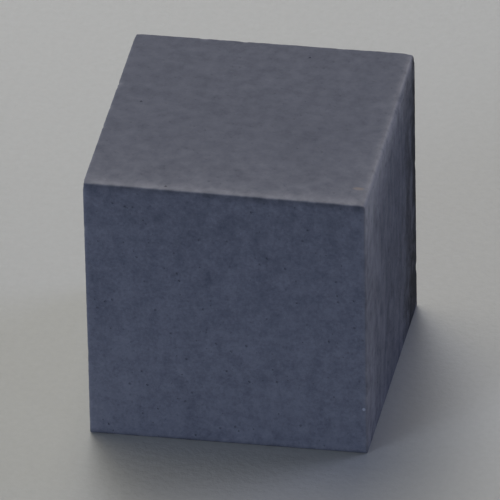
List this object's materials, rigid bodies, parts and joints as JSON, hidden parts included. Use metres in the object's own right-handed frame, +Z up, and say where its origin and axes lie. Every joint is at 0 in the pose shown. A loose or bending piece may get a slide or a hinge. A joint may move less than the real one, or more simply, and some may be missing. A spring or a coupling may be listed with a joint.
{
  "type": "charcoal block",
  "caption": "Short square block of compressed drawing charcoal, cut from an extruded bar, with rubbed arrises, knocked corners and an open, pitted grain.",
  "frame": {"origin": "middle of the cut end that the block rests on", "axes": "+Z up along the bar's length, to the other cut end; +X to the block's right side, with the rubbed top arris; -Y to its front side"},
  "size_m": [0.025, 0.025, 0.026],
  "materials": {
    "charcoal": "matte compressed charcoal, dark slate grey, with paler rubbed arrises"
  },
  "bodies": {
    "root": {"charcoal_block": "charcoal"}
  },
  "joints": []
}
